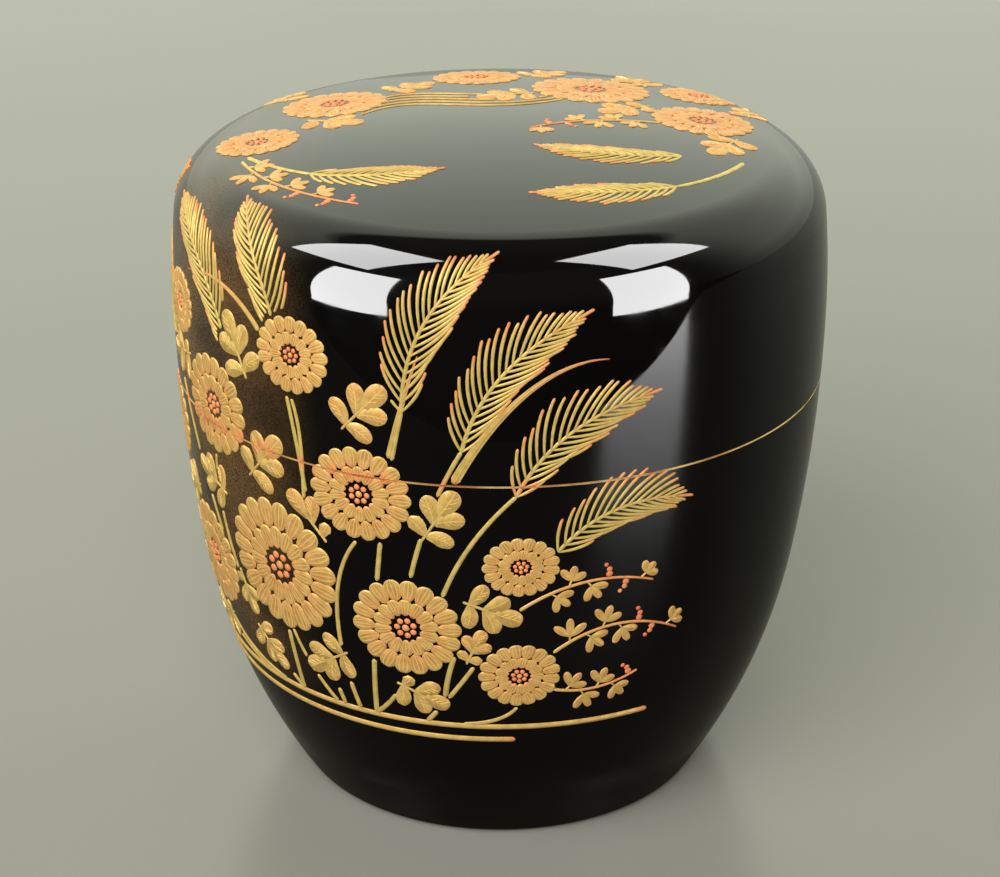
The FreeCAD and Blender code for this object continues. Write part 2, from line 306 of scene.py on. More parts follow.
def body_inside(depth):
    well = COLLAR - COLLAR_WALL
    lip_radius = COLLAR_WALL / 2
    lip = Arc((well + lip_radius, COLLAR_TOP - lip_radius), lip_radius, 0, math.pi)
    corner_centre = np.array([WELL_FLOOR_RADIUS, WELL_FLOOR + WELL_CORNER_RADIUS])
    side_across = well - WELL_SIDE_RADIUS
    side_reach = WELL_SIDE_RADIUS - WELL_CORNER_RADIUS
    side_up = math.sqrt(side_reach**2 - (WELL_FLOOR_RADIUS - side_across) ** 2)
    side_centre = np.array([side_across, corner_centre[1] + side_up])
    corner_end = bearing_of(side_centre, corner_centre)
    side = Arc(side_centre, WELL_SIDE_RADIUS, corner_end, 0)
    corner = Arc(corner_centre, WELL_CORNER_RADIUS, -math.pi / 2, corner_end)
    return chain(
        (COLLAR - depth, SEAM - GOLD_EDGE),
        lip.points(depth),
        side.points(-depth)[::-1],
        corner.points(-depth)[::-1],
        (0, WELL_FLOOR - depth),
    )


def coat_on(face, thickness):
    """The closed outline of a coat on a face."""
    return chain(face(0), face(thickness)[::-1])


def gold_ring(inner_radius, up):
    """The closed outline of the gold on a meeting edge, with its outer corner broken."""
    heights = [SEAM + up * rise for rise in (EDGE_BREAK, GOLD_EDGE)]
    outer = [SIDE_ARC.at(SIDE_ARC.cut(height, 0)) for height in heights]
    corner = (SEAM_RADIUS - EDGE_BREAK, SEAM)
    return chain((inner_radius, SEAM), corner, *outer, (inner_radius, heights[1]))


def turned_pieces(lacquer, lining, gold):
    """Every turned shell, in place of its CAD node. The lid's coat is in two: the side and the top."""
    plan = (
        ("side", "body_outer_lacquer", coat_on(body_side, COAT), "body", "outer_lacquer", lacquer),
        ("foot", "foot_lacquer", coat_on(foot_outside, COAT), "body", "outer_lacquer", lacquer),
        ("well", "body_inner_lacquer", coat_on(body_inside, LINING), "body", "inner_lacquer", lining),
        ("edge", "body_gold_edge", gold_ring(COLLAR, -1), "body", "gold", gold),
        ("side", "lid_outer_lacquer", coat_on(lid_side, COAT), "lid", "outer_lacquer", lacquer),
        ("top", "lid_outer_lacquer", coat_on(DOME_ARC.points, COAT), "lid", "outer_lacquer", lacquer),
        ("bore", "lid_inner_lacquer", coat_on(lid_inside, LINING), "lid", "inner_lacquer", lining),
        ("edge", "lid_gold_edge", gold_ring(BORE, 1), "lid", "gold", gold),
    )
    pieces = {}
    for part, node, outline, body, slot, material in plan:
        name = f"polished_{body}_{part}"
        piece = add_mesh(name, turned_mesh(name, outline), body, material)
        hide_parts(node)
        pieces[name] = piece
    return pieces


# Raised gold

LINE_RELIEF = 0.10
LEAF_RELIEF = 0.11
PETAL_RELIEF = 0.13
VEIN_RELIEF = 0.13
SUNK = 0.03
DOT_STEPS = 14
FEWEST_POINTS = 4
RELIEF_SHARP_ANGLE = math.radians(60)

# The texture map of raised gold: its upper sides, and above them a strip for its undersides
BAKE_MAP = "OFBake"
MAP_MARGIN = 0.01
MAP_WIDTH = 0.98
UPPER_SIZE = 0.90
UNDER_START = 0.93
UNDER_SIZE = 0.06

# Tones of the gold, from greenish to worn down to the red under it
GREEN_GOLD = 0.0
WARM_GOLD = 0.3

# Gold is worn beside the seam
SEAM_WEAR = 0.7
SEAM_WEAR_WIDTH = 0.8

# Cross-sections of a stroke: places across its half width, shares of its relief, and how much a painted
# highlight lightens its gold there
ROUND_SECTION = ((-1, 0, 0), (-0.7, 0.8, 0.1), (0, 1, 0.5), (0.7, 0.8, 0.1), (1, 0, 0))
VEIN_SECTION = ((-1, 0, 1), (0, 1, 1), (1, 0, 1))
LEFT_EDGE = ((-1, 0, 0), (-0.88, 0.76, 0.35))
RIGHT_EDGE = ((0.88, 0.76, 0.35), (1, 0, 0))
RIB = 0.1
RIB_FOOT = 0.82
RIB_PLACE = 0.46


def ribbed_section(*ribs):
    """A flat section with soft edges and thin raised ribs at these places, lightened as a painted highlight.
    """
    points = []
    for rib in ribs:
        points += [(rib - RIB, RIB_FOOT, 0), (rib, 1, 1), (rib + RIB, RIB_FOOT, 0)]
    return (*LEFT_EDGE, *points, *RIGHT_EDGE)


BLADE_SECTION = ribbed_section(0)
PETAL_SECTION = ribbed_section(-RIB_PLACE, 0, RIB_PLACE)

# A bead from its foot up: shares of its radius and of its relief, and how much a painted highlight lightens
# it
DOT_SECTION = ((0.6, -0.3, 0), (1, 0, 0), (0.8, 0.6, 0.2), (0.45, 0.92, 0.6))


class SideChart:
    """The side unrolled: across runs round the widest girth from the front, along from the seam."""

    def point(self, across, along, lift):
        return outside_point(across / HALF, along, lift)

    def stretch(self, across, along):
        return outside_at(along)[0][..., 0] / HALF

    def wear(self, across, along):
        return SEAM_WEAR * np.exp(-((along / SEAM_WEAR_WIDTH) ** 2))


class TopChart:
    """The top seen from above: across to the right and along to the back, from the middle."""

    def point(self, across, along, lift):
        return outside_point(np.arctan2(across, -along), TOP_ALONG - np.hypot(across, along), lift)

    def stretch(self, across, along):
        return np.ones_like(across)

    def wear(self, across, along):
        return np.zeros_like(across)


class Relief:
    """Raised gold on one chart: one mesh of closed strokes and dots."""

    def __init__(self, chart, covers=None):
        self.chart = chart
        self.vertices, self.faces, self.tones, self.painted_highlights = [], [], [], []
        self.covers = [] if covers is None else covers

    def cover(self, centre, radius):
        """Strokes added later stop at this disc, because something is in front of them there."""
        self.covers.append((np.array(centre, float), radius))

    def hidden(self, path):
        """Which points of a path lie behind a cover."""
        behind = np.zeros(len(path), bool)
        for centre, radius in self.covers:
            behind |= np.hypot(*(path - centre).T) < radius
        return behind

    def open_runs(self, path, shortest):
        """The runs of a path that no cover hides, as slices, without short ones."""
        hidden = self.hidden(path).astype(int)
        edges = np.flatnonzero(np.diff(np.concatenate([[1], hidden, [1]])))
        step = np.hypot(*(path[-1] - path[0])) / len(path)
        fewest = max(FEWEST_POINTS, shortest / step)
        return [slice(start, end) for start, end in zip(edges[::2], edges[1::2]) if end - start >= fewest]

    def stroke(self, path, half_width, tone, relief=LINE_RELIEF, section=ROUND_SECTION, shortest=0.0):
        """A stroke along a path, with a half width and a tone for each point or for all."""
        path = np.asarray(path, float)
        half_width = np.broadcast_to(half_width, len(path))
        tone = np.maximum(np.broadcast_to(tone, len(path)), self.chart.wear(*path.T))
        for run in self.open_runs(path, shortest):
            self.add_stroke(*round_ends(path[run], half_width[run], tone[run]), relief, section)

    def add_stroke(self, path, half_width, tone, relief, section):
        stretch = self.chart.stretch(*path.T)
        way = np.gradient(path, axis=0) * np.stack([stretch, np.ones_like(stretch)], axis=-1)
        way /= np.maximum(np.hypot(*way.T), SAME_PLACE)[:, None]
        aside = np.stack([-way[:, 1] / stretch, way[:, 0]], axis=-1)
        slim = np.minimum(1, 2 * half_width / half_width.max())
        columns = []
        for place, share, _ in section:
            at = path + aside * (half_width * place)[:, None]
            columns.append(self.chart.point(*at.T, share * relief * slim - (SUNK if share == 0 else 0)))
        columns.append(self.chart.point(*path.T, np.full(len(path), -2 * SUNK)))
        # The last value of each section point is a painted highlight, and the hidden underside gets none.
        painted_highlights = [painted_highlight for *_, painted_highlight in section] + [0]
        self.add_rings(np.stack(columns, axis=1), np.repeat(tone, len(painted_highlights)), painted_highlights * len(path))

    def add_rings(self, rings, tones, painted_highlights):
        """A closed tube through rings of points."""
        start, (count, around, _) = len(self.vertices), rings.shape
        self.vertices += list(rings.reshape(-1, 3) * MM)
        self.tones += list(tones)
        self.painted_highlights += list(painted_highlights)
        for ring in range(count - 1):
            low = start + ring * around
            for step in range(around):
                after = (step + 1) % around
                self.faces.append((low + step, low + after, low + around + after, low + around + step))
        self.faces.append(tuple(range(start, start + around)))
        self.faces.append(tuple(range(start + (count - 1) * around, start + count * around)))

    def dot(self, centre, radius, relief, tone):
        """A small round bead."""
        around = spoke(np.arange(DOT_STEPS) * 2 * math.pi / DOT_STEPS)
        stretch = self.chart.stretch(*np.array(centre, float)[:, None])
        rings, painted_highlights = [], []
        # Beads get a painted highlight that grows towards their tops.
        for reach, share, painted_highlight in DOT_SECTION:
            at = np.array(centre) + around * radius * reach / np.array([stretch[0], 1])
            lift = share * relief - (SUNK if share <= 0 else 0)
            rings.append(self.chart.point(*at.T, np.full(DOT_STEPS, lift)))
            painted_highlights += [painted_highlight] * DOT_STEPS
        self.add_rings(np.stack(rings), [tone] * len(painted_highlights), painted_highlights)

    def mesh(self, name):
        mesh = bpy.data.meshes.new(name)
        mesh.from_pydata(self.vertices, [], self.faces)
        # tone is the gold's own colour, and the other attribute is a painted highlight.
        for attribute, values in (("tone", self.tones), ("painted_highlight", self.painted_highlights)):
            mesh.attributes.new(attribute, "FLOAT", "POINT").data.foreach_set("value", values)
        face_outwards(mesh)
        return mesh


def kept_side(mesh, name, height, keep_above):
    """A copy of what a mesh has above, or below, a height, closed again where it was cut."""
    shell = bmesh.new()
    shell.from_mesh(mesh)
    cut = bmesh.ops.bisect_plane(
        shell,
        geom=shell.verts[:] + shell.edges[:] + shell.faces[:],
        plane_co=(0, 0, height * MM),
        plane_no=(0, 0, 1),
        clear_inner=keep_above,
        clear_outer=not keep_above,
    )
    rim = [item for item in cut["geom_cut"] if isinstance(item, bmesh.types.BMEdge)]
    bmesh.ops.holes_fill(shell, edges=rim)
    bmesh.ops.recalc_face_normals(shell, faces=shell.faces)
    kept = bpy.data.meshes.new(name)
    shell.to_mesh(kept)
    shell.free()
    return kept


def values_of(items, name, width):
    """One value or vector of each item, as rows of an array."""
    values = np.empty(len(items) * width, np.float32)
    items.foreach_get(name, values)
    return values.reshape(-1, width)


def lay_flat(mesh):
    """A texture map like the chart, with undersides apart, so that a baked stroke is sharp."""
    x, y, z = values_of(mesh.vertices, "co", 3).T / MM
    radius = np.hypot(x, y)
    on_top = radius.min() < HALF / 2
    chart = np.stack([x, y] if on_top else [np.arctan2(x, -y) * HALF, z - radius], axis=-1)
    chart -= chart.min(axis=0)
    chart /= chart.max(axis=0)
    outward = values_of(mesh.polygons, "center", 3) - np.array([0, 0, SEAM]) * MM
    under = (values_of(mesh.polygons, "normal", 3) * outward).sum(axis=1) < 0
    corners = values_of(mesh.polygons, "loop_total", 1)[:, 0].astype(int)
    across, along = chart[values_of(mesh.loops, "vertex_index", 1)[:, 0].astype(int)].T
    below, above = UNDER_START + UNDER_SIZE * along, MAP_MARGIN + UPPER_SIZE * along
    along = np.where(np.repeat(under, corners), below, above)
    places = np.stack([MAP_MARGIN + MAP_WIDTH * across, along], axis=-1)
    mesh.uv_layers.new(name=BAKE_MAP).data.foreach_set("uv", places.ravel())


def add_relief(mesh, body, material):
    smooth(mesh, RELIEF_SHARP_ANGLE)
    lay_flat(mesh)
    return add_mesh(mesh.name, mesh, body, material)


def add_side_relief(relief, name, material):
    """Relief on the side, cut at the seam into the body's part and the lid's."""
    whole = relief.mesh(name)
    pieces = []
    for body, edge, keep_above in (("body", SEAM - GOLD_EDGE, False), ("lid", SEAM + GOLD_EDGE, True)):
        kept = kept_side(whole, f"{body}_{name}", edge, keep_above)
        pieces.append(add_relief(kept, body, material))
    bpy.data.meshes.remove(whole)
    return pieces


def even(count):
    """Even shares along a curve."""
    return np.linspace(0, 1, count)


# Shares that lie closer and closer towards a blunt end
BLUNT = np.sin(even(10) * math.pi / 2)


def curve(share, *controls):
    """Points at these shares along the Bezier curve with these control points."""
    layer = [np.broadcast_to(np.array(control, float), (len(share), 2)) for control in controls]
    while len(layer) > 1:
        layer = [first + (second - first) * share[:, None] for first, second in zip(layer, layer[1:])]
    return layer[0]


def unit(way):
    """The same direction with a length of 1."""
    return way / np.hypot(*way)


def turned_way(way, angle):
    """A direction on a chart turned anticlockwise, by degrees."""
    turn = math.radians(angle)
    cosine, sine = math.cos(turn), math.sin(turn)
    return np.array([way[0] * cosine - way[1] * sine, way[0] * sine + way[1] * cosine])


def swelling(share, start, middle, peak):
    """Half widths that swell from the start to a peak and close in a round end."""
    rise = np.sin(np.clip(share / peak, 0, 1) * math.pi / 2)
    fall = np.sqrt(1 - np.clip((share - peak) / (1 - peak), 0, 0.999) ** 2)
    return np.where(share < peak, start + (middle - start) * rise, middle * fall)


def tapering(share, start, middle, end, peak):
    """Half widths that swell from the start to a peak and run out to a thin end."""
    return np.interp(share, (0, peak / 2, peak, 1), (start, start * 0.3 + middle * 0.7, middle, end))


# Round ends: the least length, the most as a share of the stroke, points along them, and the last width
SHORTEST_END = 0.01
LONGEST_END = 0.4
END_STEPS = np.array([0, 0.15, 1])
END_CLEARANCE = 1.05
END_WIDTH = 0.04


def round_ends(path, half_width, tone):
    """The same stroke with points added at its ends, where it closes in half circles."""
    gone = np.concatenate([[0], np.cumsum(np.hypot(*np.diff(path, axis=0).T))])
    longest = LONGEST_END * gone[-1]
    first, last = (min(max(half_width[end], SHORTEST_END), longest) for end in (0, -1))
    inside = gone[(gone > first * END_CLEARANCE) & (gone < gone[-1] - last * END_CLEARANCE)]
    marks = np.concatenate([END_STEPS * first, inside, gone[-1] - END_STEPS[::-1] * last])
    near = np.clip(np.minimum(marks / first, (gone[-1] - marks) / last), 0, 1)
    closing = np.maximum(np.sqrt(1 - (1 - near) ** 2), END_WIDTH)
    at = np.stack([np.interp(marks, gone, values) for values in path.T], axis=-1)
    return at, np.interp(marks, gone, half_width) * closing, np.interp(marks, gone, tone)


# Autumn flowers and grasses

# Roots stand on the upper ground line
GROUND = -27.4

# Points along strokes, and the shortest runs that show between flowers
LONG_STEPS = 90
STEM_STEPS = 80
LINE_STEPS = 400
SHORTEST_BLADE = 9.0
SHORTEST_STALK = 4.0
SHORTEST_STEM = 1.5

# Plumes: their hairs, which lean out in degrees and close towards the tip
HAIR_GAP = 0.86
HAIR_LENGTH = 6.0
TOP_HAIR_LENGTH = 4.6
HAIR_LEAN = 46
HAIR_CLOSING = 28
SPINE_STEPS = 3

# Leaves, clover and the stream on the top
LOBE_PEAK = 0.62
VEIN_LEAN = 40
CLOVER_GAP = 1.75
CLOVER_STEPS = 4
BEADS_FROM = 0.6
STREAM_LANES = 5
STREAM_GAP = 1.2
TOP_BLOSSOM_TONE = 0.42
TOP_LEAF_TONE = 0.38
BACK_LEAF_TONE = 0.2

# A blossom's rings of petals: start and end as shares of its diameter, and how many petals fewer
PETAL_RINGS = ((0.28, 0.5, 0), (0.13, 0.3, 4))
PETAL_FILL = 0.94
EYE = 0.13
EYE_BEADS = 7


def blade(relief, root, knee, bend, tip, width):
    """A long grass blade with a raised midrib lightened as a painted highlight, red towards its tip."""
    share = even(LONG_STEPS)
    half_width = tapering(share, width * 0.2, width / 2, 0.05, peak=0.4)
    tone = GREEN_GOLD + 0.1 + share**4 * 0.8
    path = curve(share, (root, GROUND), knee, bend, tip)
    relief.stroke(path, half_width, tone, LEAF_RELIEF, BLADE_SECTION, SHORTEST_BLADE)


def plume(relief, root, knee, neck, crest, tip, chance, hair_length=HAIR_LENGTH):
    """A grass stem that ends in a feathery head, whose hairs turn red at their tips."""
    stalk = curve(even(LONG_STEPS), root, knee, neck)
    stalk_half_width = np.linspace(0.30, 0.22, LONG_STEPS)
    relief.stroke(stalk, stalk_half_width, GREEN_GOLD, shortest=SHORTEST_STALK)
    steps = round(np.hypot(*np.subtract(tip, neck)) / HAIR_GAP)
    share = even(steps * SPINE_STEPS)
    spine = curve(share, neck, crest, tip)
    ways = np.gradient(spine, axis=0)
    end = spine[-1] + unit(ways[-1]) * hair_length * 0.3
    relief.stroke(curve(even(6), spine[-1], end), 0.16, 0.7)
    relief.stroke(spine, 0.22 - 0.08 * share, GREEN_GOLD + 0.6 * share**2)
    for at in range(0, len(share), SPINE_STEPS):
        way = unit(ways[at])
        longest = hair_length * np.interp(share[at], (0, 0.3, 0.65, 1), (0.6, 1.0, 0.8, 0.2))
        for side in (-1, 1):
            lean = side * (HAIR_LEAN - HAIR_CLOSING * share[at] ** 2) * chance.uniform(0.93, 1.07)
            hair(relief, spine[at], way, lean, longest * chance.uniform(0.92, 1.06), chance)


def hair(relief, root, way, lean, size, chance):
    """One hair of a plume: it leans away from the spine and bends forward."""
    share = even(8)
    out = turned_way(way, lean)
    path = curve(share, root, root + out * size * 0.55, root + out * size * 0.72 + way * size * 0.3)
    tone = GREEN_GOLD + share**3 * chance.uniform(0.35, 1.0)
    relief.stroke(path, tapering(share, 0.11, 0.18, 0.14, peak=0.6), tone)


def petal(relief, root, tip, width, tone):
    """A petal with a round end and three raised lines down it, lightened as a painted highlight."""
    half_width = swelling(BLUNT, width * 0.16, width / 2, LOBE_PEAK)
    tones = tone + 0.2 * (1 - BLUNT)
    relief.stroke(curve(BLUNT, root, tip), half_width, tones, PETAL_RELIEF, PETAL_SECTION)


def blossom(relief, centre, diameter, petals, turn, tilt, lean, tone=WARM_GOLD):
    """A chrysanthemum seen from the front, or tilted: two rings of petals round a beaded eye."""
    centre = np.array(centre, float)

    def spot(angle, reach):
        return centre + turned_way((math.cos(angle) * reach, math.sin(angle) * reach * tilt), lean)

    eye = EYE * diameter
    for ring, (start, end, fewer) in enumerate(PETAL_RINGS):
        count = petals - fewer
        width = 2 * math.pi * end * diameter / count * PETAL_FILL
        for step in range(count):
            angle = turn + (step + 0.5 * ring) * 2 * math.pi / count
            span = width * (tilt + (1 - tilt) * abs(math.sin(angle)))
            petal(relief, spot(angle, start * diameter), spot(angle, end * diameter), span, tone)
    for step in range(EYE_BEADS):
        angle = turn + step * 2 * math.pi / EYE_BEADS
        relief.dot(spot(angle, eye * 0.6), eye * 0.22, PETAL_RELIEF, 0.8)
    relief.dot(spot(0, 0), eye * 0.26, PETAL_RELIEF, 0.6)
    relief.cover(centre, 0.5 * diameter * (1 + tilt) / 2)


# A leaf's lobes: start along the midrib, lean in degrees, and reach and half width, as shares of its length
LEAF_LOBES = (
    (0.10, 76, 0.44, 0.135),
    (0.10, -76, 0.44, 0.135),
    (0.34, 48, 0.48, 0.15),
    (0.34, -48, 0.48, 0.15),
    (0.44, 0, 0.56, 0.165),
)


def leaf(relief, base, tip, tone):
    """A lobed chrysanthemum leaf: rounded lobes with raised veins lightened as a painted highlight, set along
    a midrib.
    """
    base, tip = np.array(base, float), np.array(tip, float)
    size = np.hypot(*(tip - base))
    way = (tip - base) / size
    spots = []
    for start, lean, reach, breadth in LEAF_LOBES:
        out = turned_way(way, lean)
        root = base + way * size * start
        path = curve(BLUNT, root, root + (way * 0.5 + out) * size * reach * 0.4, root + out * size * reach)
        half_width = swelling(BLUNT, size * 0.03, size * breadth, LOBE_PEAK)
        relief.stroke(path, half_width, tone + 0.15 * BLUNT, LEAF_RELIEF, BLADE_SECTION)
        spots += [(path[at], half_width[at] + 0.1) for at in (1, 3, 5)]
        if relief.hidden(path).any():
            continue
        for at in (2, 3, 4):
            for side in (-1, 1):
                end = path[at] + turned_way(out, side * VEIN_LEAN) * half_width[at] * 0.95
                relief.stroke(curve(even(4), path[at], end), 0.05, tone, VEIN_RELIEF, VEIN_SECTION)
    relief.stroke(curve(even(10), base, base + way * size * 0.55), 0.15, tone)
    for centre, radius in spots:
        relief.cover(centre, radius)


def stem(relief, root, *controls):
    share = even(STEM_STEPS)
    path = curve(share, (root, GROUND), *controls)
    relief.stroke(path, 0.28 - 0.08 * share, 0.5 * WARM_GOLD, shortest=SHORTEST_STEM)


def clover(relief, root, arch, tip, chance):
    """A bush-clover spray: an arching stem, leaves in threes, and beads of blossom near its end."""
    joints = round(np.hypot(*np.subtract(tip, root)) / CLOVER_GAP)
    share = even(joints * CLOVER_STEPS)
    path = curve(share, root, arch, tip)
    ways = np.gradient(path, axis=0)
    relief.stroke(path, 0.2 - 0.08 * share, WARM_GOLD + 0.5 * share)
    for step in range(1, joints):
        at = step * CLOVER_STEPS
        way = unit(ways[at])
        side = 1 if step % 2 else -1
        if share[at] > BEADS_FROM and step % 3 != 1:
            clover_beads(relief, path[at], way, side, chance)
        else:
            clover_leaf(relief, path[at], way, side, (2.0 - 0.6 * share[at]) * chance.uniform(0.9, 1.1))


def clover_beads(relief, joint, way, side, chance):
    """Three beads of blossom, each smaller and further out."""
    for bead in range(3):
        out = turned_way(way, side * (50 + 20 * bead)) * (0.6 + 0.45 * bead)
        relief.dot(joint + out, 0.36 - 0.06 * bead, LINE_RELIEF, chance.uniform(0.7, 1.0))


def clover_leaf(relief, joint, way, side, size):
    """A short stalk with three leaflets."""
    out = turned_way(way, side * 58)
    stalk = joint + out * 0.7
    if relief.hidden(curve(even(6), joint, stalk + out * size)).any():
        return
    relief.stroke(curve(even(6), joint, stalk), 0.1, WARM_GOLD)
    for lean in (10, 62, 114):
        tip = stalk + turned_way(way, side * lean) * size
        half_width = swelling(BLUNT, 0.08, 0.42, peak=0.6)
        relief.stroke(curve(BLUNT, stalk, tip), half_width, 0.2 + 0.3 * BLUNT, LEAF_RELIEF, BLADE_SECTION)


def ground_line(node, end, material):
    """A raised gold line round the belly, red at its right end, in place of its CAD node."""
    relief = Relief(SideChart())
    low, high = box_of(node)[:, 2]
    turns = np.linspace(end - LINE_SWEEP, end, LINE_STEPS)
    path = np.stack([turns * HALF, np.full(LINE_STEPS, along_at((low + high) / 2))], axis=-1)
    tone = WARM_GOLD + 0.6 * np.exp((turns - end) * HALF / LINE_RED_LENGTH)
    relief.stroke(path, (high - low) / 2, tone, PETAL_RELIEF)
    piece = add_relief(relief.mesh("raised_" + node), "body", material)
    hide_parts(node)
    return piece


# Where the plants stand on their charts, by the measures that their functions name

SIDE_BLOSSOMS = (
    ((-24, -12.5), 14.5, 19, 0.1, 1, 0),
    ((-9.5, -16), 11.5, 18, 0.4, 0.95, 0.5),
    ((-38, -16.5), 11.5, 18, 0.2, 0.95, 0),
    ((-13.5, -2), 10.5, 18, 0, 0.92, -0.6),
    ((-32.5, 2), 11, 17, 0.3, 0.92, 0.7),
    ((-46, -4), 9.5, 17, 0.2, 0.9, 0.2),
    ((2, -21), 8.5, 17, 0.2, 0.88, 0.4),
    ((-20.5, 10.5), 8.5, 17, 0.1, 0.88, 0.9),
    ((2, -8.5), 7.5, 17, 0.2, 0.85, 0.9),
    ((-40.5, 10), 7.5, 17, 0.2, 0.85, 0.2),
)
SIDE_LEAVES = (
    ((-16.4, -20.4), (-22, -23.8)), ((-30, -21.6), (-26, -25.8)),
    ((-17.4, -8), (-21.6, -3.4)), ((-3.6, -12.4), (2.2, -14.6)),
    ((-31.6, -7.4), (-37.6, -5.6)), ((-27, -3.6), (-22.2, 1.6)),
    ((-39.6, -9.6), (-45.4, -11.4)), ((-44, -21.4), (-50.4, -18.8)),
    ((-11, -22.8), (-5.4, -25.2)), ((-37.6, 5.4), (-44, 4.2)),
    ((-26.4, 6.6), (-29.6, 12.6)), ((-7.4, -6), (-4, -0.6)),
    ((-36.6, -23.2), (-43, -25.4)), ((-15, 4.4), (-10.6, 9.2)),
    ((-50.4, -9), (-56, -12.4)), ((-31.4, -15.6), (-29.6, -20.4)),
    ((-3.4, -19.6), (-1.6, -15.6)),
)
SIDE_STEMS = (
    (-19, (-22, -24), (-23.5, -19.5)),
    (-14, (-11, -25), (-10, -21.6)),
    (-27, (-36, -26), (-38, -22)),
    (-16, (-18.5, -16), (-16.5, -10), (-14, -7)),
    (-24, (-33, -18), (-34, -10), (-33, -3.5)),
    (-30, (-46, -24), (-49, -14), (-46.5, -8.5)),
    (-4, (0.5, -27), (1.8, -25)),
    (-18, (-22, -10), (-18, 0), (-20.5, 6.2)),
    (-8, (-2, -20), (1.6, -12)),
)
SIDE_HEADS = (
    ((-29, GROUND), (-34, -10), (-42, 4), (-47, 12), (-56, 13)),
    ((-24, GROUND), (-24, -8), (-29, 8), (-33, 17), (-43, 19.5)),
    ((-20, GROUND), (-17, -8), (-22, 10), (-23, 18), (-31, 23)),
    ((-14, GROUND), (-12, -6), (-9, 7), (-9, 16), (-1.5, 21.5)),
    ((-11, GROUND), (-10, -8), (-3.5, 3.5), (-1.5, 12), (7, 16)),
    ((-8, GROUND), (-8, -10), (1.5, -1), (5, 6.5), (13.5, 8)),
    ((-6, GROUND), (-6, -14), (5.5, -7), (10, -1.5), (17.5, -3)),
)
SIDE_BLADES = (
    (-26, (-26, -10), (-40, 6), (-57, -3), 1),
    (-22, (-20, -4), (-28, 14), (-49, 9), 1.1),
    (-18, (-15, 0), (-21, 20), (-38, 14), 1),
    (-15, (-12, -2), (-9, 8), (-7.5, 12.5), 1),
    (-12, (-9, -4), (0, 13), (10, 12), 1.1),
    (-28, (-34, -18), (-44, -12), (-57, -17), 1),
    (-21, (-24, -12), (-27, -2), (-38, -2), 0.9),
)
SIDE_SPRAYS = (
    ((1.5, -13.6), (8, -8.6), (15.5, -11.6)),
    ((5.4, -18.4), (11.5, -13.6), (19, -18)),
    ((5.2, -22.8), (10, -24.2), (14.8, -22)),
)
BACK_BLOSSOMS = (
    ((-72, -15), 12, 18, 0.2, 0.95, 0),
    ((-62, -21), 9, 17, 0.1, 0.88, 0.4),
    ((-66, 4), 9.5, 17, 0.3, 0.9, 0.2),
)
BACK_LEAVES = (
    ((-67, -20.6), (-71.6, -24.8)), ((-78.6, -18), (-84.4, -15.4)),
    ((-66, -9), (-61.4, -5.4)), ((-71.6, 2), (-77, 5.4)),
)
BACK_STEMS = (
    (-70, (-74, -25), (-72.5, -20.8)),
    (-67, (-68, -14), (-66, -0.8)),
    (-65, (-62, -26.6), (-62, -25.4)),
)
BACK_HEADS = (
    ((-66, GROUND), (-70, -12), (-59, 8), (-57, 15), (-51, 20)),
    ((-76, GROUND), (-78, -12), (-84, -1), (-88, 6), (-97, 6)),
    ((-73, GROUND), (-74, -8), (-77, 9), (-78, 17), (-86, 21)),
)
BACK_BLADES = (
    (-72, (-74, -8), (-78, 14), (-94, 13), 1),
    (-78, (-80, -16), (-90, -8), (-99, -16), 1),
    (-69, (-70, -14), (-60, -1), (-56, 4), 0.9),
)
HANGING_SPRAYS = (
    ((70, 17), (65, 8), (54, -8)),
    ((74, 18), (75, 4), (80, -10)),
    ((72, 15), (69, 0), (66, -17)),
)
TOP_BLOSSOMS = (
    ((9.5, 14.5), 12.5, 19, 0.1, 1, 0),
    ((20.5, 4.5), 10.5, 18, 0.3, 0.95, 0.6),
    ((-2.5, 20.5), 9.5, 17, 0, 0.9, 0.2),
    ((-17, 10), 11, 18, 0.2, 0.95, 0.3),
    ((21, 16), 8.5, 17, 0.2, 0.9, 0.8),
    ((-24, -1.5), 8.5, 17, 0.1, 0.9, 0.4),
)
TOP_LEAVES = (
    ((15.4, 8.4), (10, 4.4)), ((3.6, 11.6), (-2.4, 9.4)),
    ((15.6, 18.4), (13, 24.2)), ((-11.6, 14), (-7, 18)),
    ((-19.5, 4.2), (-13.6, 1.4)), ((23.6, -0.8), (20.6, -6.4)),
    ((-22.4, 14), (-23, 20)), ((2.8, 21.5), (7, 25.6)),
    ((25.6, 8.4), (26, 13.4)),
)
TOP_HEADS = (
    ((25, -3), (22, -6), (17.5, -8), (11, -10), (4.5, -7.5)),
    ((23.5, -8), (21, -13), (16.5, -16), (11, -19), (4, -19)),
    ((-24.5, -6), (-22, -10), (-18, -12.5), (-13, -15), (-6.5, -13.5)),
)
TOP_SPRAYS = (
    ((-25, -7), (-22, -16), (-13, -20.5)),
    ((16, 2), (8, 2), (3, -2)),
)


def each(draw, relief, rows, *rest):
    """Draw one plant for each row of its measures."""
    for row in rows:
        draw(relief, *row, *rest)


def side_flowers(relief):
    """Chrysanthemums on the left, in front of the grasses, some of them across the seam."""
    chance = random.Random(11)
    each(blossom, relief, SIDE_BLOSSOMS)
    for base, tip in SIDE_LEAVES:
        leaf(relief, base, tip, chance.uniform(0.1, 0.3))
    each(stem, relief, SIDE_STEMS)


def side_grasses(relief):
    """Plumed grass that rises across the seam, and clover sprays that lean out to the right."""
    chance = random.Random(23)
    each(plume, relief, SIDE_HEADS, chance)
    each(blade, relief, SIDE_BLADES)
    each(clover, relief, SIDE_SPRAYS, chance)


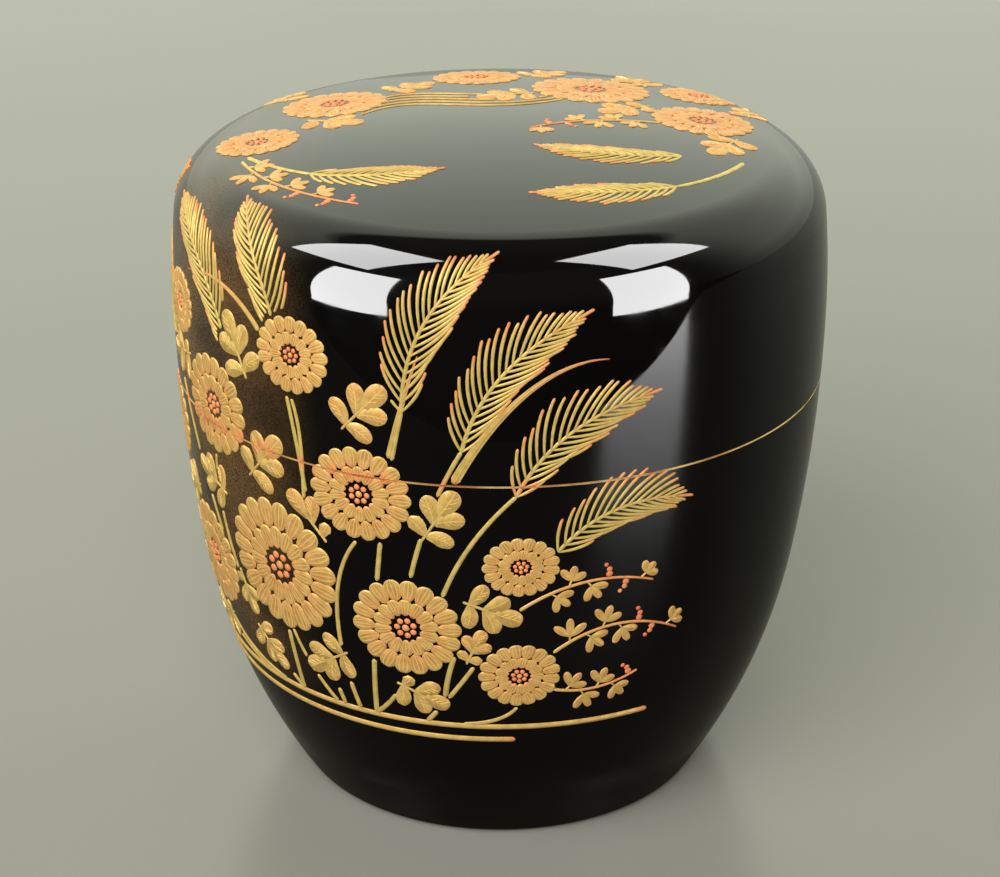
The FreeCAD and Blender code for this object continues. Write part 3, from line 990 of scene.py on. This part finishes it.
def back_flowers(relief):
    """A lighter group round the back, so that the caddy has no blank side."""
    chance = random.Random(31)
    each(blossom, relief, BACK_BLOSSOMS)
    each(leaf, relief, BACK_LEAVES, BACK_LEAF_TONE)
    each(stem, relief, BACK_STEMS)
    each(plume, relief, BACK_HEADS, chance)
    each(blade, relief, BACK_BLADES)


def hanging_clover(relief):
    """Clover sprays that hang from the shoulder on the right of the back."""
    each(clover, relief, HANGING_SPRAYS, random.Random(37))


def top_flowers(relief):
    """Blossoms, leaves and plumes round the top, and a stream that winds behind them."""
    chance = random.Random(47)
    each(blossom, relief, TOP_BLOSSOMS, TOP_BLOSSOM_TONE)
    each(leaf, relief, TOP_LEAVES, TOP_LEAF_TONE)
    each(plume, relief, TOP_HEADS, chance, TOP_HAIR_LENGTH)
    each(clover, relief, TOP_SPRAYS, chance)
    share = even(STEM_STEPS)
    half_width = tapering(share, 0.08, 0.19, 0.06, peak=0.5)
    for lane in range(STREAM_LANES):
        path = curve(share, (-15, 3), (-8, 14), (-3, 0), (6, 6), (10, 14)) + (0, STREAM_GAP * lane)
        relief.stroke(path, half_width, WARM_GOLD)


def gold_pieces(material):
    """All raised gold, a few pieces on each body. The flowers stand in front of the grasses."""
    flowers, back, hanging = (Relief(SideChart()) for _ in range(3))
    grasses = Relief(SideChart(), flowers.covers)
    plan = (
        (side_flowers, flowers, "gold_chrysanthemums"),
        (side_grasses, grasses, "gold_grasses"),
        (back_flowers, back, "gold_back_flowers"),
        (hanging_clover, hanging, "gold_hanging_clover"),
    )
    pieces = []
    for draw, relief, name in plan:
        draw(relief)
        pieces += add_side_relief(relief, name, material)
    top = Relief(TopChart())
    top_flowers(top)
    return [
        *pieces,
        add_relief(top.mesh("lid_gold_top_flowers"), "lid", material),
        ground_line("ground_line_lower", LOWER_LINE_END, material),
        ground_line("ground_line_upper", UPPER_LINE_END, material),
    ]


# Materials

LACQUER_IOR = 1.3
TABLE_IOR = 1.28

# Lacquers: the browner of two blacks, and the least and most roughness
OUTER_LACQUER = ((0.0042, 0.0036, 0.0032), 0.02, 0.05)
INNER_LACQUER = ((0.0050, 0.0040, 0.0034), 0.06, 0.12)

# Gold powder, in metres: where it is thinnest and where it is full, on the left, at the foot and at the top
MIST_LEFT = (-0.016, -0.029)
MIST_FOOT = (0.014, 0.024)
MIST_TOP = (0.0665, 0.06)

# Most of a noise lies in this span
NOISE_SPAN = (0.3, 0.7)

# Colour sockets of a Mix node
MIX_FIRST = 6
MIX_SECOND = 7
MIX_RESULT = 2


class Nodes:
    """Short ways to add nodes to the tree of a material or of the world."""

    def __init__(self, owner):
        owner.use_nodes = True
        self.nodes = owner.node_tree.nodes
        self.join = owner.node_tree.links.new

    def add(self, kind, **settings):
        node = self.nodes.new(kind)
        for name, value in settings.items():
            setattr(node, name, value)
        return node

    def split(self, vector):
        node = self.add("ShaderNodeSeparateXYZ")
        self.join(vector, node.inputs[0])
        return node.outputs

    def span(self, value, low, high, to_low, to_high):
        """A value carried from one span to another, smoothly and within it."""
        node = self.add("ShaderNodeMapRange", interpolation_type="SMOOTHSTEP")
        for name, number in zip(("From Min", "From Max", "To Min", "To Max"), (low, high, to_low, to_high)):
            node.inputs[name].default_value = number
        self.join(value, node.inputs["Value"])
        return node.outputs["Result"]

    def ramp(self, value, *stops):
        """Colours by value, from stops of a position and a linear colour."""
        node = self.add("ShaderNodeValToRGB")
        elements = node.color_ramp.elements
        while len(elements) < len(stops):
            elements.new(1.0)
        for element, (position, colour) in zip(elements, stops):
            element.position = position
            element.color = (*colour, 1)
        self.join(value, node.inputs["Fac"])
        return node.outputs["Color"]

    def mix(self, factor, first, second):
        node = self.add("ShaderNodeMix", data_type="RGBA")
        self.join(factor, node.inputs["Factor"])
        self.join(first, node.inputs[MIX_FIRST])
        self.join(second, node.inputs[MIX_SECOND])
        return node.outputs[MIX_RESULT]

    def times(self, first, second):
        node = self.add("ShaderNodeMath", operation="MULTIPLY")
        self.join(first, node.inputs[0])
        self.join(second, node.inputs[1])
        return node.outputs["Value"]


class Shader(Nodes):
    """A material with one Principled shader."""

    def __init__(self, name):
        self.material = bpy.data.materials.new(name)
        super().__init__(self.material)
        self.surface = self.nodes["Principled BSDF"]
        self.place = self.add("ShaderNodeTexCoord").outputs["Object"]

    def set(self, name, value):
        self.surface.inputs[name].default_value = value

    def feed(self, name, output):
        self.join(output, self.surface.inputs[name])

    def noise(self, scale, detail):
        node = self.add("ShaderNodeTexNoise")
        node.inputs["Scale"].default_value = scale
        node.inputs["Detail"].default_value = detail
        self.join(self.place, node.inputs["Vector"])
        return node.outputs["Fac"]

    def bump(self, height, strength, distance):
        node = self.add("ShaderNodeBump")
        node.inputs["Strength"].default_value = strength
        node.inputs["Distance"].default_value = distance * MM
        self.join(height, node.inputs["Height"])
        self.feed("Normal", node.outputs["Normal"])


def lacquer_material(name, warm, gloss_low, gloss_high, powdered):
    """Deep black lacquer with a faint brown cast and, outside, a mist of gold powder."""
    shader = Shader(name)
    cast = shader.noise(scale=55, detail=4)
    black = shader.ramp(cast, (0.3, (0.0022, 0.0021, 0.0020)), (0.7, warm))
    polish = shader.span(shader.noise(scale=420, detail=5), *NOISE_SPAN, gloss_low, gloss_high)
    if powdered:
        mist = gold_mist(shader)
        grain = shader.noise(scale=7000, detail=2)
        powder = shader.ramp(grain, (0.35, (0.05, 0.026, 0.010)), (0.65, (0.30, 0.165, 0.055)))
        black = shader.mix(mist, black, powder)
        shader.feed("Metallic", shader.span(mist, 0, 1, 0, 0.4))
    shader.feed("Base Color", black)
    shader.feed("Roughness", polish)
    shader.bump(shader.noise(scale=130, detail=2), strength=0.02, distance=0.02)
    shader.set("IOR", LACQUER_IOR)
    return shader.material


def gold_mist(shader):
    """How much gold powder lies where: clouds of it on the left of the side, none near the foot."""
    place = shader.split(shader.place)
    left = shader.span(place["X"], *MIST_LEFT, 0, 1)
    risen = shader.span(place["Z"], *MIST_FOOT, 0, 1)
    below_top = shader.span(place["Z"], *MIST_TOP, 0.3, 1)
    clouds = shader.span(shader.noise(scale=90, detail=3), 0.3, 0.62, 0.25, 1)
    return shader.times(shader.times(left, clouds), shader.times(risen, below_top))


def gold_material():
    """Gold powder on raised lacquer: satin, mottled, and red where it is worn, with a painted highlight that
    lightens crests, ribs and veins.
    """
    shader = Shader("gold_powder")
    tone = shader.add("ShaderNodeAttribute", attribute_name="tone").outputs["Fac"]
    # A painted highlight, read from the mesh.
    painted_highlight = shader.add("ShaderNodeAttribute", attribute_name="painted_highlight").outputs["Fac"]
    mottle = shader.span(shader.noise(scale=1100, detail=6), *NOISE_SPAN, 0, 1)
    red, fair_red = (0.66, 0.10, 0.042), (0.88, 0.19, 0.09)
    deep = shader.ramp(tone, (0.0, (0.50, 0.335, 0.07)), (0.3, (0.59, 0.33, 0.066)), (1.0, red))
    fair = shader.ramp(tone, (0.0, (0.70, 0.51, 0.125)), (0.3, (0.80, 0.49, 0.125)), (1.0, fair_red))
    # Where the painted highlight is full, the gold turns to this lighter colour.
    ribs = shader.ramp(tone, (0.0, (0.88, 0.70, 0.25)), (0.3, (0.95, 0.70, 0.28)), (1.0, fair_red))
    shader.feed("Base Color", shader.mix(painted_highlight, shader.mix(mottle, deep, fair), ribs))
    shader.feed("Metallic", shader.span(tone, 0.3, 1.0, 0.35, 0.05))
    grain = shader.noise(scale=9000, detail=2)
    shader.feed("Roughness", shader.span(grain, *NOISE_SPAN, 0.42, 0.6))
    shader.bump(grain, strength=0.3, distance=0.012)
    return shader.material


def edge_material():
    """The thin gold on the meeting edges: smoother, and worn to red in places."""
    shader = Shader("edge_gold")
    wear = shader.noise(scale=260, detail=6)
    red, gold, fair_gold = (0.45, 0.12, 0.04), (0.70, 0.43, 0.14), (0.85, 0.58, 0.24)
    shader.feed("Base Color", shader.ramp(wear, (0.35, red), (0.5, gold), (0.7, fair_gold)))
    shader.feed("Roughness", shader.span(wear, *NOISE_SPAN, 0.5, 0.35))
    shader.bump(shader.noise(scale=5000, detail=3), strength=0.15, distance=0.01)
    shader.set("Metallic", 0.5)
    return shader.material


def wood_material():
    """The turned wood under the lacquer."""
    shader = Shader("turned_wood")
    rings = shader.add("ShaderNodeTexWave", wave_type="RINGS", rings_direction="Y")
    rings.inputs["Scale"].default_value = 120
    rings.inputs["Distortion"].default_value = 3
    shader.join(shader.place, rings.inputs["Vector"])
    grain = rings.outputs["Fac"]
    shader.feed("Base Color", shader.ramp(grain, (0.2, (0.36, 0.2, 0.09)), (0.8, (0.55, 0.35, 0.18))))
    shader.feed("Roughness", shader.span(grain, 0, 1, 0.5, 0.7))
    shader.bump(grain, strength=0.2, distance=0.1)
    return shader.material


def table_material(name, deep, fair):
    """A plain table top with a soft sheen."""
    shader = Shader(name)
    cloud = shader.noise(scale=6, detail=4)
    shader.feed("Base Color", shader.ramp(cloud, (0.3, deep), (0.7, fair)))
    shader.feed("Roughness", shader.span(cloud, *NOISE_SPAN, 0.2, 0.25))
    shader.set("IOR", TABLE_IOR)
    return shader.material


# Stage, light and camera

PICTURE_WIDTH = 1000
FOCAL_PIXELS = 2488
SENSOR_WIDTH = 36.0
CAMERA_PLACE = (0, -237.6, 140.0)
CAMERA_AIM = (0, 0, 34.49)
CLIP_START = 10.0
FLOOR_REACH = 40000.0
TABLE_FRONT = -135.0
TABLE_GAP = 0.05
PALE_TABLE = ((0.262, 0.258, 0.221), (0.281, 0.276, 0.236))
DARK_TABLE = ((0.075, 0.068, 0.05), (0.085, 0.077, 0.057))

# Lights, in metres: place, what they face, width and height, and radiance
TALL_WINDOW = ((0.773, -0.631, 0.325), (0, 0, 0.325), (0.488, 0.9), 45.0)
ROOF_WINDOW = ((0.645, -0.175, 1.1), (-0.435, 0.31, 0.036), (0.62, 0.71), 32.0)
SHEEN_WINDOW = ((0.762, -0.645, 0.285), (0, 0, 0.285), (0.525, 0.56), 80.0)
SOFT_LIGHT = ((-0.28, -0.76, 0.64), (0, 0, 0.05), (1.0, 1.0), 5.5)
GLINT = ((-0.6, -0.5, 0.75), (0, 0, 0.05), (0.45, 0.45), 14.0)

# Wall of the room: levels by height, strength in front and behind, and the share outside reflections
WALL_LEVELS = ((0.0, 0.38), (0.1, 0.48), (0.22, 0.70), (0.5, 0.85), (0.82, 0.80), (0.86, 0.05), (1.0, 0.04))
WALL_TINT = (0.95, 1.0, 0.82)
FRONT_TO_BACK = (-0.3, 0.3)
FRONT_STRENGTH = 0.12
BACK_STRENGTH = 2.55
SEEN_SHARE = 0.45
BELOW_HORIZON = -0.01


def add_sheet(name, front, height, material):
    """A flat table top, from a front edge back."""
    mesh = bpy.data.meshes.new(name)
    reach = FLOOR_REACH
    corners = ((-reach, front), (reach, front), (reach, reach), (-reach, reach))
    mesh.from_pydata([(x * MM, y * MM, height * MM) for x, y in corners], [], [range(4)])
    mesh.materials.append(material)
    sheet = add_object(name, mesh)
    sheet.visible_shadow = False
    return sheet


def add_table():
    """A pale table, and just under it the dark one that reflections show, which ends before the camera."""
    table = add_sheet("table", -FLOOR_REACH, 0.0, table_material("pale_table", *PALE_TABLE))
    table.visible_glossy = False
    dark = table_material("dark_table", *DARK_TABLE)
    reflected = add_sheet("reflected_table", TABLE_FRONT, -TABLE_GAP, dark)
    reflected.visible_camera = False
    reflected.visible_diffuse = False
    return reflected


def add_camera():
    data = bpy.data.cameras.new("camera")
    data.sensor_width = SENSOR_WIDTH
    data.lens = FOCAL_PIXELS / PICTURE_WIDTH * SENSOR_WIDTH
    data.clip_start = CLIP_START * MM
    camera = add_object("camera", data)
    camera.location = Vector(CAMERA_PLACE) * MM
    aim = Vector(CAMERA_AIM) - Vector(CAMERA_PLACE)
    camera.rotation_euler = aim.to_track_quat("-Z", "Y").to_euler()
    bpy.context.scene.camera = camera


def add_light(name, place, aim, size, radiance, side=1):
    """A flat light at a place that faces another, or its mirror image on side -1."""
    data = bpy.data.lights.new(name, "AREA")
    data.shape = "RECTANGLE"
    data.size, data.size_y = size
    data.energy = radiance * math.pi * size[0] * size[1]
    light = add_object(name, data)
    place, aim = (Vector((side * x, y, z)) for x, y, z in (place, aim))
    light.location = place
    light.rotation_euler = (place - aim).to_track_quat("Z", "Y").to_euler()
    light.visible_camera = False
    return light


def show_in(light, *pieces):
    """Only these pieces show the light, and only in their gloss."""
    light.visible_diffuse = False
    light.light_linking.receiver_collection = bpy.data.collections.new(light.name)
    for piece in pieces:
        light.light_linking.receiver_collection.objects.link(piece)


def add_lights(sides, top, gold, reflected_table):
    """Windows that the polish shows, one in the table's sheen, a soft light and a glint for the gold."""
    for side, name in ((-1, "left"), (1, "right")):
        show_in(add_light(name + "_window", *TALL_WINDOW, side), *sides)
        show_in(add_light(name + "_roof_window", *ROOF_WINDOW, side), *sides, top)
    show_in(add_light("sheen_window", *SHEEN_WINDOW), reflected_table)
    add_light("soft_light", *SOFT_LIGHT).visible_glossy = False
    show_in(add_light("glint", *GLINT), *gold)


def add_world():
    """A pale band of wall behind the caddy, dark overhead and below, and dim in front."""
    world = bpy.data.worlds.new("room")
    room = Nodes(world)
    way = room.split(room.add("ShaderNodeTexCoord").outputs["Generated"])
    stops = [(height, tuple(level * part for part in WALL_TINT)) for height, level in WALL_LEVELS]
    wall = room.ramp(way["Z"], *stops)
    behind = room.span(way["Y"], *FRONT_TO_BACK, FRONT_STRENGTH, BACK_STRENGTH)
    glossy = room.add("ShaderNodeLightPath").outputs["Is Glossy Ray"]
    shown = room.span(glossy, 0, 1, SEEN_SHARE, 1)
    above = room.add("ShaderNodeMath", operation="GREATER_THAN")
    above.inputs[1].default_value = BELOW_HORIZON
    room.join(way["Z"], above.inputs[0])
    background = room.nodes["Background"]
    room.join(wall, background.inputs["Color"])
    strength = room.times(room.times(behind, shown), above.outputs["Value"])
    room.join(strength, background.inputs["Strength"])
    bpy.context.scene.world = world


def main():
    bpy.context.scene.view_settings.view_transform = "Standard"
    lacquer = lacquer_material("outer_lacquer", *OUTER_LACQUER, powdered=True)
    lining = lacquer_material("inner_lacquer", *INNER_LACQUER, powdered=False)
    shells = turned_pieces(lacquer, lining, edge_material())
    sides = [shells["polished_body_side"], shells["polished_lid_side"]]
    gold = gold_pieces(gold_material())
    wood = wood_material()
    for node in ("body_wood_core", "lid_wood_core"):
        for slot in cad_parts[node].material_slots:
            slot.material = wood
    reflected_table = add_table()
    add_camera()
    add_lights(sides, shells["polished_lid_top"], gold, reflected_table)
    add_world()


main()
